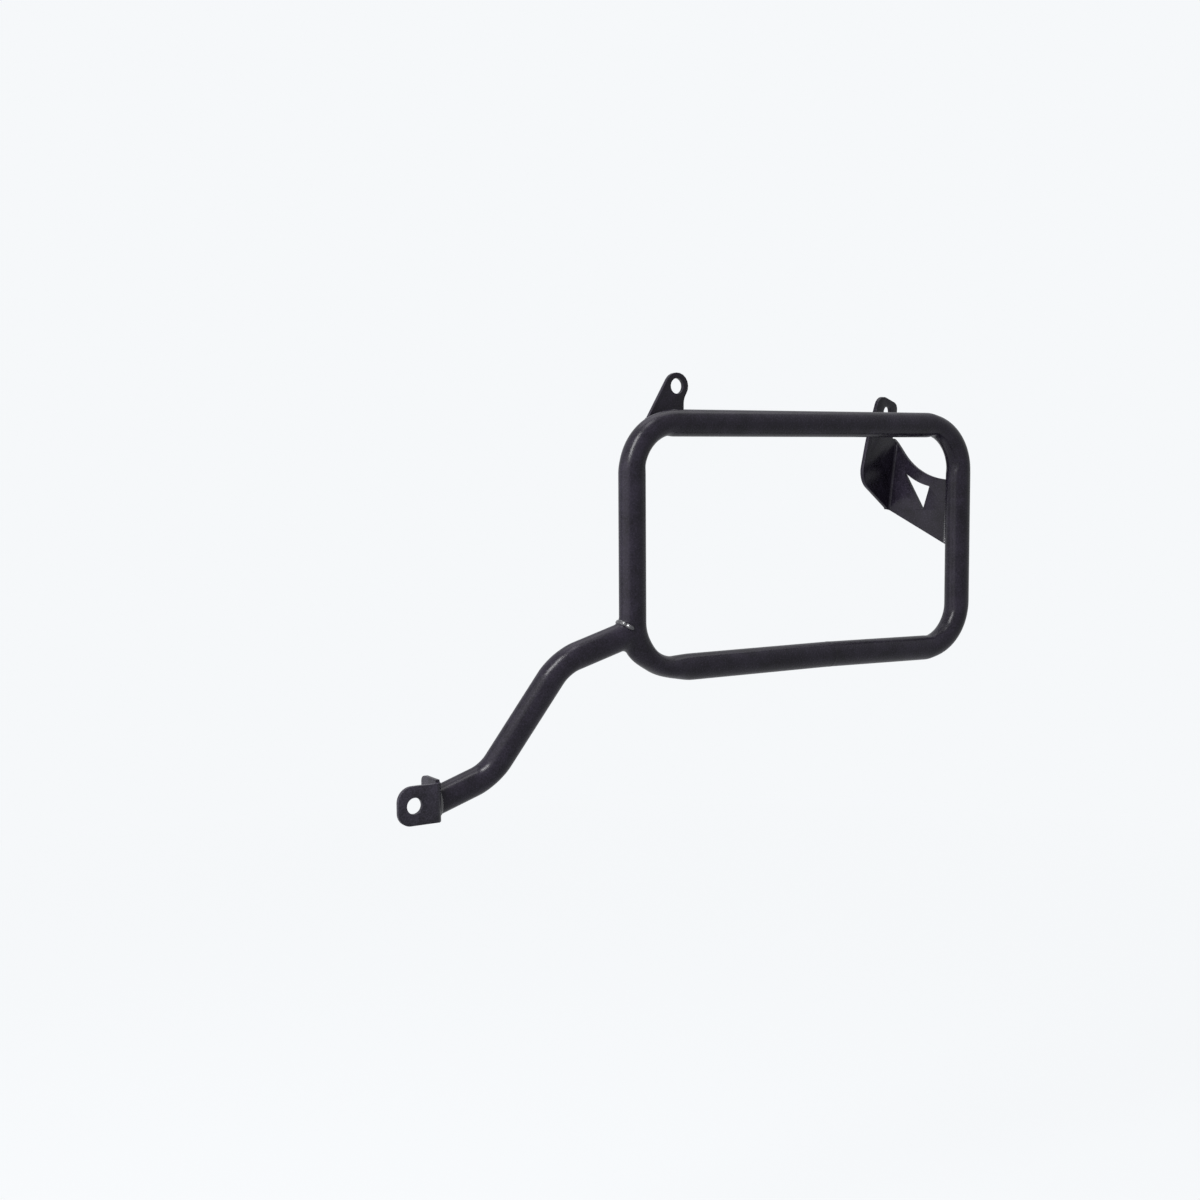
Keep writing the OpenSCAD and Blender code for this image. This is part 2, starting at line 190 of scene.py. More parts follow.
@dataclass(frozen=True)
class PowderCoat:
    """A satin black powder coat, as it looks over one kind of metal.

    Attributes:
        finish: the surface it lies on.
        colour: linear base colour.
        mottle: how far the colour strays from patch to patch, as a share.
        roughness, spread: mean roughness, and how far it strays to each side.
        grain, grain_height: the coat's grain and its height, in metres.
        wave, wave_height: slow waviness of the metal below and its height, in metres.
        patches: broad patches in which the colour strays.
        sheen, rim: the shader's specular level head on, and the share of it left at the rim.
        rim_span: facing values, 0 head on and 1 edge on, between which the level falls.
    """

    finish: Finish
    colour: Triple = (0.0115, 0.0094, 0.0155)
    mottle: float = 0.5
    roughness: float = 0.25
    spread: float = 0.05
    grain: Pattern = Pattern(0.0012, 2.0, 0.6)
    grain_height: float = 0.00003
    wave: Pattern = Pattern(0.009, 1.0, 0.4)
    wave_height: float = 0.00003
    patches: Pattern = Pattern(0.014, 3.0, 0.55)
    sheen: float = 0.15
    rim: float = 0.08
    rim_span: Span = (0.4, 0.9)

    def build(self) -> Material:
        """Makes the material.

        Returns:
            A node material whose grain, waviness and mottling follow object coordinates.
        """
        material = bpy.data.materials.new(self.finish.value)
        material.use_nodes = True
        tree = material.node_tree
        shader = tree.nodes["Principled BSDF"]
        shader.inputs["Metallic"].default_value = 0.0
        shader.inputs["IOR"].default_value = 1.5
        place = tree.nodes.new("ShaderNodeTexCoord").outputs["Object"]
        grain = self.grain.lay(tree, place)
        wavy = self._bump(tree, self.wave.lay(tree, place), self.wave_height)
        strays = calculate(tree, "ADD", self.patches.lay(tree, place), grain)
        rough = (self.roughness - self.spread, self.roughness + self.spread)
        for name, value in (
            ("Specular IOR Level", self._level(tree)),
            ("Base Color", self._tint(tree, remap(tree, strays, NOISE_SUM_SPAN, (0.0, 1.0)))),
            ("Roughness", remap(tree, grain, NOISE_SPAN, rough)),
            ("Normal", self._bump(tree, grain, self.grain_height, wavy)),
        ):
            tree.links.new(value, shader.inputs[name])
        return material

    def _level(self, tree: Tree) -> Socket:
        """Specular level, which falls towards the rim, because the grain breaks up reflections."""
        facing = tree.nodes.new("ShaderNodeLayerWeight").outputs["Facing"]
        return remap(tree, facing, self.rim_span, (self.sheen, self.sheen * self.rim))

    def _tint(self, tree: Tree, share: Socket) -> Socket:
        """Adds the mottled colour.

        Args:
            tree: the material's tree.
            share: how far it strays from the darkest patch, 0, to the palest, 1.

        Returns:
            The colour.
        """
        tint = tree.nodes.new("ShaderNodeMix")
        tint.data_type = "RGBA"
        for end, stray in (("A", 1 - self.mottle), ("B", 1 + self.mottle)):
            tint.inputs[end].default_value = (*(part * stray for part in self.colour), 1)
        tree.links.new(share, tint.inputs["Factor"])
        return tint.outputs["Result"]

    @staticmethod
    def _bump(tree: Tree, height: Socket, depth: float, below: Socket | None = None) -> Socket:
        """Adds a bump.

        Args:
            tree: the material's tree.
            height: pattern of the bump.
            depth: its depth, in metres.
            below: normal of the bump that it lies on, if there is one.

        Returns:
            The bumped normal.
        """
        bump = tree.nodes.new("ShaderNodeBump")
        bump.inputs["Distance"].default_value = depth
        tree.links.new(height, bump.inputs["Height"])
        if below is not None:
            tree.links.new(below, bump.inputs["Normal"])
        return bump.outputs["Normal"]


@dataclass(frozen=True)
class Palette:
    """The part's materials, one for each finish."""

    coats: dict[Finish, Material]

    @classmethod
    def build(cls) -> "Palette":
        """Builds the coats: paler on the foot, as painted light on its plate, and glossier on the
        welds.

        Returns:
            The palette.
        """
        coats = (
            PowderCoat(Finish.STEEL),
            # The foot's paler colour is painted light: the steel coat, lightened where its plate
            # catches more light
            PowderCoat(Finish.FOOT_PAINTED_LIGHT, colour=(0.021, 0.0184, 0.0264), mottle=0.6),
            PowderCoat(
                Finish.WELD, colour=(0.019, 0.0175, 0.022), roughness=0.24,
                grain=Pattern(0.0009, 2.0, 0.6), wave=Pattern(0.003, 1.0, 0.4),
                wave_height=0.00005, sheen=0.8, rim=0.9,
            ),
        )
        return cls({coat.finish: coat.build() for coat in coats})

    def of(self, finish: Finish) -> Material:
        """Material of one finish."""
        return self.coats[finish]


@dataclass(frozen=True)
class Sizes:
    """Main sizes of the frame, in millimetres, with the names and values of the part's source.

    Places are measured from the loop's front top corner, with X rearward, Y inward and Z up. The
    stay's corners are given ahead of its joint and down its tilted plane. arm_turn holds the rear
    bracket's turns about X, Y and Z, and arm_weld the ends of the middle lines of its beads.
    """

    tube_r: float = 9.0
    bend_r: float = 33.0
    loop_l: float = 293.0
    loop_h: float = 163.0
    butt_x: float = 167.0
    butt_kink: float = 1.0
    butt_gap: float = 2.0
    stay_rise: float = 26.3
    stay_tilt: float = 16.5
    upper_bend: Span = (52.4, 17.6)
    lower_bend: Span = (93.9, 92.5)
    stay_cut: Span = (131.5, 107.1)
    sheet: float = 3.0
    tab_hole: Triple = (48.2, 18.5, 25.2)
    tab_base: Span = (21.5, 53.5)
    arm_drop: float = 65.0
    arm_turn: Triple = (3.9, 4.3, 11.0)
    arm_weld: Span = (-22.8, 21.3)

    @property
    def front_low(self) -> Vector:
        """Front lower corner of the loop's centre line."""
        return Vector((0, 0, -self.loop_h))

    @property
    def rear_top(self) -> Vector:
        """Rear upper corner of the loop's centre line."""
        return Vector((self.loop_l, 0, 0))

    @property
    def rear_low(self) -> Vector:
        """Rear lower corner of the loop's centre line."""
        drop = (self.loop_l - self.butt_x) * math.tan(math.radians(self.butt_kink))
        return Vector((self.loop_l, 0, -self.loop_h - drop))

    @property
    def joint(self) -> Vector:
        """Place where the stay's centre line meets the front tube's."""
        return Vector((0, 0, self.stay_rise - self.loop_h))

    def on_stay(self, fwd: float, drop: float) -> Vector:
        """Point of the stay's tilted plane, ahead of the front tube and down from the joint."""
        tilt = math.radians(self.stay_tilt)
        return self.joint + Vector((-fwd, drop * math.sin(tilt), -drop * math.cos(tilt)))

    def in_part(self, p: Vector) -> Vector:
        """Point in metres in the part's own frame."""
        return (p - Vector(self.tab_hole)) * MM


@dataclass(frozen=True)
class Flattening:
    """How a bend narrows in its own plane.

    Attributes:
        outer, inner: depth on the bend's outer and inner side, in millimetres.
        rise: lengths from the bend's start between which it sets in, in millimetres.
        fall: lengths from the bend's end between which it fades, negative before the end.
    """

    outer: float
    inner: float
    rise: Span = (0.0, 9.0)
    fall: Span = (-9.0, 0.0)

    def share(self, at: float, start: float, end: float) -> float:
        """Share of the full depth at one length of a tube whose bend runs from start to end."""
        grown = smoothstep((at - start - self.rise[0]) / (self.rise[1] - self.rise[0]))
        return grown * smoothstep((end + self.fall[1] - at) / (self.fall[1] - self.fall[0]))


@dataclass(frozen=True)
class Zone:
    """One bend: the lengths of tube before it and up to its end, its flattening, and its side."""

    start: float
    end: float
    flat: Flattening
    left: bool


@dataclass(frozen=True)
class Station:
    """One ring of a swept tube: its middle, direction and side direction in millimetres, the length
    of tube before it, and its flattening on that side and on the other."""

    middle: Vector
    along: Vector
    outward: Vector
    at: float
    outer: float = 0.0
    inner: float = 0.0


@dataclass
class BentTube:
    """A round tube swept along straight runs and bends that flatten slightly, as bent tube does.

    Attributes:
        name, node: name of the piece, and CAD node that it stands for.
        path, normal: corners of the centre line, in millimetres, and the normal of its plane.
        bends: flattening of each inner corner's bend, in order.
        sizes: main sizes of the frame.
        cut_x: place along X ahead of which the tube is cut away, if it is.
        step: turn from ring to ring in a bend, in degrees.
        pitch: distance from ring to ring in a straight run, in millimetres.
        widening: growth of the tube across a flattened bend, as a share of the flattening.
        gather: power that gathers the flattening towards the bend's outer and inner sides.
    """

    name: str
    node: str
    path: list[Vector]
    normal: Vector
    bends: list[Flattening]
    sizes: Sizes
    cut_x: float | None = None
    step: float = 2.5
    pitch: float = 3.0
    widening: float = 0.18
    gather: float = 1.6

    def stations(self) -> list[Station]:
        """Places the rings along the whole tube.

        Returns:
            The rings, flattened where they lie in bends.
        """
        rings: list[Station] = []
        zones: list[Zone] = []
        at, start = 0.0, self.path[0]
        for corner, before, after, flat in zip(self.path[1:], self.path, self.path[2:], self.bends):
            into, out = (corner - before).normalized(), (after - corner).normalized()
            turn = into.angle(out)
            reach = self.sizes.bend_r * math.tan(turn / 2)
            end = corner - into * reach
            rings += self._run(start, end, at)
            at += (end - start).length
            left = self.normal.dot(into.cross(out)) > 0
            rings += self._bend(end, into, -turn if left else turn, at)
            zones.append(Zone(at, at + self.sizes.bend_r * turn, flat, left))
            at = zones[-1].end
            start = corner + out * reach
        rings += self._run(start, self.path[-1], at)
        return [self._flattened(ring, zones) for ring in rings]

    def _run(self, start: Vector, end: Vector, at: float) -> list[Station]:
        """Places the rings of a straight run.

        Args:
            start: where the run begins.
            end: where it ends.
            at: length of tube before it.

        Returns:
            The rings, with those at both ends.
        """
        length = (end - start).length
        along = (end - start).normalized()
        side = self.normal.cross(along)
        count = max(2, round(length / self.pitch))
        return [
            Station(start.lerp(end, i / count), along, side, at + length * i / count)
            for i in range(count + 1)
        ]

    def _bend(self, start: Vector, into: Vector, turn: float, at: float) -> list[Station]:
        """Places the rings of a bend.

        Args:
            start: where the bend begins.
            into: direction of the tube there.
            turn: angle in radians, positive where it turns away from the side direction.
            at: length of tube before it.

        Returns:
            The rings, without those at its two ends.
        """
        centre = start - math.copysign(self.sizes.bend_r, turn) * self.normal.cross(into)
        count = max(3, round(math.degrees(abs(turn)) / self.step))
        rings = []
        for i in range(1, count):
            spin = Matrix.Rotation(-turn * i / count, 3, self.normal)
            middle, along = centre + spin @ (start - centre), spin @ into
            gone = self.sizes.bend_r * abs(turn) * i / count
            rings.append(Station(middle, along, self.normal.cross(along), at + gone))
        return rings

    @staticmethod
    def _flattened(ring: Station, zones: list[Zone]) -> Station:
        """Adds every bend's flattening to a ring.

        Args:
            ring: the round ring.
            zones: the tube's bends.

        Returns:
            The same ring with its flattening.
        """
        outer = inner = 0.0
        for zone in zones:
            share = zone.flat.share(ring.at, zone.start, zone.end)
            outer += share * (zone.flat.inner if zone.left else zone.flat.outer)
            inner += share * (zone.flat.outer if zone.left else zone.flat.inner)
        return replace(ring, outer=outer, inner=inner)

    def ring(self, s: Station) -> list[Vector]:
        """Lays the points of one ring.

        Args:
            s: the ring's place and flattening.

        Returns:
            The points, in metres in the part's own frame.
        """
        r = self.sizes.tube_r
        across = s.along.cross(s.outward).normalized()
        bulge = self.widening * (s.outer + s.inner)
        points = []
        for k in range(SIDES):
            angle = 2 * math.pi * k / SIDES
            c, n = math.cos(angle), math.sin(angle)
            inset = s.outer if c > 0 else s.inner
            x = c * r - math.copysign(inset * abs(c) ** self.gather, c)
            side = across * n * (r + bulge * abs(n))
            points.append(self.sizes.in_part(s.middle + s.outward * x + side))
        return points

    def build(self, material: Material) -> Object:
        """Sweeps the tube.

        Args:
            material: coat of the tube.

        Returns:
            The finished piece, riding on the body and standing for its CAD node.
        """
        bm = bmesh.new()
        skin(bm, [self.ring(s) for s in self.stations()])
        if self.cut_x is not None:
            whole = bm.verts[:] + bm.edges[:] + bm.faces[:]
            cut = self.sizes.in_part(Vector((self.cut_x, 0, 0)))
            bmesh.ops.bisect_plane(
                bm, geom=whole, plane_co=cut, plane_no=(-1, 0, 0), clear_outer=True
            )
            bmesh.ops.holes_fill(bm, edges=[e for e in bm.edges if e.is_boundary])
        return finish_mesh(bm, self.name, material, (self.node,))


def smoothstep(share: float) -> float:
    """Smooth rise from 0 at 0 to 1 at 1, and 1 beyond."""
    t = min(max(share, 0.0), 1.0)
    return t * t * (3 - 2 * t)


def skin(bm: bmesh.types.BMesh, rings: list[list[Vector]], closed: bool = False) -> None:
    """Lays faces from ring to ring, and over the two end rings unless they meet.

    Args:
        bm: mesh that gets the faces.
        rings: points of each ring, in metres, as many in each.
        closed: whether the last ring meets the first.
    """
    verts = [[bm.verts.new(p) for p in ring] for ring in rings]
    for one, two in zip(verts, verts[1:] + verts[:1] if closed else verts[1:]):
        for k in range(len(one)):
            j = (k + 1) % len(one)
            bm.faces.new((one[k], one[j], two[j], two[k]))
    if not closed:
        for end in (verts[0], verts[-1]):
            bm.faces.new(end)


def finish_mesh(
    bm: bmesh.types.BMesh, name: str, material: Material, nodes: tuple[str, ...]
) -> Object:
    """Turns a mesh in the making into a piece of the part.

    Args:
        bm: the mesh, in metres; it is freed.
        name: name of the piece.
        material: its material.
        nodes: CAD nodes that it stands for.

    Returns:
        The piece, riding on the body.
    """
    bmesh.ops.recalc_face_normals(bm, faces=bm.faces)
    mesh = bpy.data.meshes.new(name)
    bm.to_mesh(mesh)
    bm.free()
    mesh.materials.append(material)
    mesh.shade_smooth()
    mesh.set_sharp_from_angle(angle=math.radians(SHARP_ANGLE))
    return adopt(mesh, name, nodes)


def link_object(name: str, mesh: Mesh) -> Object:
    """Makes an object of a mesh and puts it into the scene.

    Args:
        name: name of the object.
        mesh: its mesh.

    Returns:
        The object, at the origin.
    """
    made = bpy.data.objects.new(name, mesh)
    bpy.context.scene.collection.objects.link(made)
    return made


def adopt(mesh: Mesh, name: str, nodes: tuple[str, ...]) -> Object:
    """Makes a piece of a finished mesh.

    Args:
        mesh: the mesh, with its material.
        name: name of the piece.
        nodes: CAD nodes that it stands for.

    Returns:
        The piece, riding on the body.
    """
    piece = link_object(name, mesh)
    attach(piece, BODY)
    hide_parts(*nodes)
    return piece


def bake(rough: Object, name: str) -> Mesh:
    """Turns an object with its modifiers into a plain mesh.

    Args:
        rough: the object, which is deleted with its own mesh and modifiers.
        name: name of the new mesh.

    Returns:
        The mesh.
    """
    bpy.context.view_layer.update()
    graph = bpy.context.evaluated_depsgraph_get()
    mesh = bpy.data.meshes.new_from_object(
        rough.evaluated_get(graph), preserve_all_data_layers=True, depsgraph=graph
    )
    mesh.name = name
    old = rough.data
    bpy.data.objects.remove(rough)
    bpy.data.meshes.remove(old)
    return mesh


@dataclass
class TubeWork:
    """The loop, its ground butt weld and the stay.

    Attributes:
        sizes, palette: main sizes of the frame and materials of the part.
        front_low, front_top, rear_top, rear_low: flattening of the loop's bends.
        stay_bends: flattening of the stay's bends.
        butt_height, butt_depth: height of the butt weld above the tube and depth of its edges
            below the surface, in millimetres.
        butt_lap: length by which it laps over each tube end.
        butt_steps, butt_swell: faces across it, and power of the sine that its section follows.
        into_loop: start of the stay, from the middle of the front tube.
        into_foot: length by which the stay runs into the foot's leg.
    """

    sizes: Sizes
    palette: Palette
    front_low: Flattening = Flattening(2.8, 1.0, rise=(16.0, 34.0), fall=(-8.0, 14.0))
    front_top: Flattening = Flattening(0.5, 1.1)
    rear_top: Flattening = Flattening(0.6, 1.3, rise=(-4.0, 3.0))
    rear_low: Flattening = Flattening(0.6, 0.7)
    stay_bends: Flattening = Flattening(0.5, 0.6)
    butt_height: float = 0.12
    butt_depth: float = 0.05
    butt_lap: float = 0.5
    butt_steps: int = 8
    butt_swell: float = 0.7
    into_loop: float = 3.0
    into_foot: float = 0.8

    def build(self) -> list[Object]:
        """Builds all three pieces."""
        return [self._loop(), self._butt_ring(), self._stay()]

    def _loop(self) -> Object:
        """Sweeps the closed loop, whose two ends meet in the bottom run.

        Returns:
            The piece.
        """
        s = self.sizes
        butt = Vector((s.butt_x, 0, -s.loop_h))
        path = [butt, s.rear_low, s.rear_top, Vector((0, 0, 0)), s.front_low, butt]
        bends = [self.rear_low, self.rear_top, self.front_top, self.front_low]
        tube = BentTube("loop", "loop_tube", path, INWARD, bends, s)
        return tube.build(self.palette.of(Finish.STEEL))

    def _butt_ring(self) -> Object:
        """Makes the weld between the loop's ends: a low band round the tube, ground almost flush.

        Returns:
            The piece.
        """
        s = self.sizes
        half = s.butt_gap / 2 + self.butt_lap
        turns = [2 * math.pi * k / SIDES for k in range(SIDES)]
        rings = []
        for i in range(self.butt_steps + 1):
            share = i / self.butt_steps
            x = s.butt_x + (2 * share - 1) * half
            swell = math.sin(math.pi * share) ** self.butt_swell
            r = s.tube_r - self.butt_depth + (self.butt_height + self.butt_depth) * swell
            ring = [Vector((x, r * math.cos(t), -s.loop_h + r * math.sin(t))) for t in turns]
            rings.append([s.in_part(p) for p in ring])
        bm = bmesh.new()
        skin(bm, rings)
        return finish_mesh(bm, "butt_ring", self.palette.of(Finish.STEEL), ("loop_butt_weld",))

    def _stay(self) -> Object:
        """Sweeps the stay, from inside its joint to just inside the foot's folded leg.

        Returns:
            The piece.
        """
        s = self.sizes
        up, low, end = s.on_stay(*s.upper_bend), s.on_stay(*s.lower_bend), s.on_stay(*s.stay_cut)
        start = s.joint.lerp(up, self.into_loop / (up - s.joint).length)
        past = end + (end - low).normalized() * 2 * s.tube_r
        normal = (up - s.joint).cross(low - up).normalized()
        normal = normal if normal.y > 0 else -normal
        tube = BentTube(
            "stay", "stay_tube", [start, up, low, past], normal, [self.stay_bends] * 2, s,
            cut_x=end.x - self.into_foot,
        )
        return tube.build(self.palette.of(Finish.STEEL))


@dataclass(frozen=True)
class Bracket:
    """One folded sheet bracket: its CAD node, the name of its piece and its finish."""

    node: str
    name: str
    finish: Finish = Finish.STEEL


@dataclass
class SheetBrackets:
    """The three folded sheet brackets: CAD shapes with softened edges.

    Attributes:
        palette: materials of the part.
        edge, segments: width of the softened edge, in metres, and the faces across it.
        sharpest: angle in degrees above which an edge is softened.
        merge: distance within which the CAD mesh's corners are one, in metres.
        flat: angle in degrees below which neighbouring facets become one face.
        brackets: the brackets.
    """

    palette: Palette
    edge: float = 0.0008
    segments: int = 3
    sharpest: float = 40.0
    merge: float = 2e-6
    flat: float = 0.6
    brackets: tuple[Bracket, ...] = (
        Bracket("front_tab", "tab"),
        Bracket("foot_bracket", "foot", Finish.FOOT_PAINTED_LIGHT),
        Bracket("rear_bracket", "bracket"),
    )

    def build(self, frame: dict) -> list[Object]:
        """Builds every bracket from its node of the loaded frame."""
        return [self._soften(frame["nodes"][one.node], one) for one in self.brackets]

    def _soften(self, source: Object, bracket: Bracket) -> Object:
        """Copies a node's mesh, joins its facets into flat faces and rounds its sharp edges.

        Args:
            source: the CAD node's object, which stays as it is.
            bracket: the bracket.

        Returns:
            The new piece, standing for the node.
        """
        bm = bmesh.new()
        bm.from_mesh(source.data)
        bmesh.ops.remove_doubles(bm, verts=bm.verts, dist=self.merge)
        bmesh.ops.dissolve_limit(
            bm, angle_limit=math.radians(self.flat), verts=bm.verts, edges=bm.edges
        )
        mesh = bpy.data.meshes.new(bracket.name + "_plain")
        bm.to_mesh(mesh)
        bm.free()
        mesh.materials.clear()
        mesh.materials.append(self.palette.of(bracket.finish))
        for polygon in mesh.polygons:
            polygon.material_index = 0
        mesh.shade_smooth()
        rough = link_object(bracket.name + "_plain", mesh)
        bevel = rough.modifiers.new("edge", "BEVEL")
        bevel.width = self.edge
        bevel.segments = self.segments
        bevel.limit_method = "ANGLE"
        bevel.angle_limit = math.radians(self.sharpest)
        bevel.use_clamp_overlap = True
        bevel.harden_normals = True
        return adopt(bake(rough, bracket.name), bracket.name, (bracket.node,))


@dataclass
class WeldTree:
    """Geometry nodes that lay a bead and its overlapping ripples along a line.

    Attributes:
        name: name of the tree.
        ripple_faces: faces round a ripple, and along it.
        core, core_sides: the joining rod's radius, as a share of theirs, and faces round it.
        sockets: identifiers of the tree's inputs, by their names.
    """

    name: str = "weld_ripples"
    ripple_faces: tuple[int, int] = (14, 9)
    core: float = 0.86
    core_sides: int = 14
    sockets: dict[str, str] = field(default_factory=dict)

    def build(self, material: Material) -> Tree:
        """Builds the tree.

        Args:
            material: coat of the bead.

        Returns:
            The tree, with inputs Pitch, Radius, Ripple Length, Jitter and Seed.
        """
        tree = bpy.data.node_groups.new(self.name, "GeometryNodeTree")
        self._declare(tree)
        new, link = tree.nodes.new, tree.links.new
        given, done = new("NodeGroupInput"), new("NodeGroupOutput")
        line, even = new("GeometryNodeMeshToCurve"), new("GeometryNodeResampleCurve")
        even.mode = "LENGTH"
        link(given.outputs["Geometry"], line.inputs["Mesh"])
        link(line.outputs["Curve"], even.inputs["Curve"])
        link(given.outputs["Pitch"], even.inputs["Length"])

        both, real = new("GeometryNodeJoinGeometry"), new("GeometryNodeRealizeInstances")
        link(self._ripples(tree, given, even), both.inputs["Geometry"])
        link(self._rod(tree, given, even), both.inputs["Geometry"])
        smooth, coat = new("GeometryNodeSetShadeSmooth"), new("GeometryNodeSetMaterial")
        coat.inputs["Material"].default_value = material
        chain = (both, real, smooth, coat, done)
        for one, two in zip(chain, chain[1:]):
            link(one.outputs["Geometry"], two.inputs["Geometry"])
        return tree

    def _declare(self, tree: Tree) -> None:
        """Gives the tree its inputs, with usual values in metres, and its output.

        Args:
            tree: the tree.
        """
        face = tree.interface
        for way in ("INPUT", "OUTPUT"):
            face.new_socket("Geometry", in_out=way, socket_type="NodeSocketGeometry")
        for label, kind, value in (
            ("Pitch", "NodeSocketFloat", 0.0016), ("Radius", "NodeSocketFloat", 0.0016),
            ("Ripple Length", "NodeSocketFloat", 0.0013), ("Jitter", "NodeSocketFloat", 0.12),
            ("Seed", "NodeSocketInt", 7),
        ):
            socket = face.new_socket(label, in_out="INPUT", socket_type=kind)
            socket.default_value = value
            self.sockets[label] = socket.identifier

    def _ripples(self, tree: Tree, given: Node, even: Node) -> Socket:
        """Adds the ripples: a ball of slightly varying size, stretched along each step of the line.

        Args:
            tree: the tree.
            given: its inputs.
            even: node that gives the line's even points.

        Returns:
            The ripples, as instances.
        """
        new, link = tree.nodes.new, tree.links.new
        ball = new("GeometryNodeMeshUVSphere")
        for label, count in zip(("Segments", "Rings"), self.ripple_faces):
            ball.inputs[label].default_value = count
        ball.inputs["Radius"].default_value = 1.0
        tangent, aim = new("GeometryNodeInputTangent"), new("FunctionNodeAlignRotationToVector")
        aim.axis = "Z"
        link(tangent.outputs["Tangent"], aim.inputs["Vector"])
        shape = new("ShaderNodeCombineXYZ")
        for axis, label in (("X", "Radius"), ("Y", "Radius"), ("Z", "Ripple Length")):
            link(given.outputs[label], shape.inputs[axis])

        chance = new("FunctionNodeRandomValue")
        chance.data_type = "FLOAT"
        ends = [socket for socket in chance.inputs if socket.type == "VALUE"]
        for operation, end in zip(("SUBTRACT", "ADD"), ends):
            link(calculate(tree, operation, 1.0, given.outputs["Jitter"]), end)
        link(given.outputs["Seed"], chance.inputs["Seed"])
        sized = new("ShaderNodeVectorMath")
        sized.operation = "SCALE"
        link(shape.outputs["Vector"], sized.inputs[0])
        amount = next(socket for socket in chance.outputs if socket.type == "VALUE")
        link(amount, sized.inputs["Scale"])

        ripples = new("GeometryNodeInstanceOnPoints")
        link(even.outputs["Curve"], ripples.inputs["Points"])
        link(ball.outputs["Mesh"], ripples.inputs["Instance"])
        link(aim.outputs["Rotation"], ripples.inputs["Rotation"])
        link(sized.outputs["Vector"], ripples.inputs["Scale"])
        return ripples.outputs["Instances"]

    def _rod(self, tree: Tree, given: Node, even: Node) -> Socket:
        """Adds the rod that fills the bead between its ripples.

        Args:
            tree: the tree.
            given: its inputs.
            even: node that gives the line's even points.

        Returns:
            The rod's mesh.
        """
        new, link = tree.nodes.new, tree.links.new
        circle, rod = new("GeometryNodeCurvePrimitiveCircle"), new("GeometryNodeCurveToMesh")
        circle.inputs["Resolution"].default_value = self.core_sides
        radius = calculate(tree, "MULTIPLY", given.outputs["Radius"], self.core)
        link(radius, circle.inputs["Radius"])
        rod.inputs["Fill Caps"].default_value = True
        link(even.outputs["Curve"], rod.inputs["Curve"])
        link(circle.outputs["Curve"], rod.inputs["Profile Curve"])
        return rod.outputs["Mesh"]


@dataclass(frozen=True)
class Bead:
    """One weld bead: its piece, CAD node, middle line and radius in millimetres, the seed of its
    ripples' sizes, whether its ends meet, and the distance from ripple to ripple."""

    name: str
    node: str
    line: list[Vector]
    radius: float
    seed: int
    closed: bool = False
    pitch: float = 1.7


@dataclass(frozen=True)
class Seat:
    """One place of the joint's seam, with the directions out of the stay and along it."""

    place: Vector
    out: Vector
    along: Vector


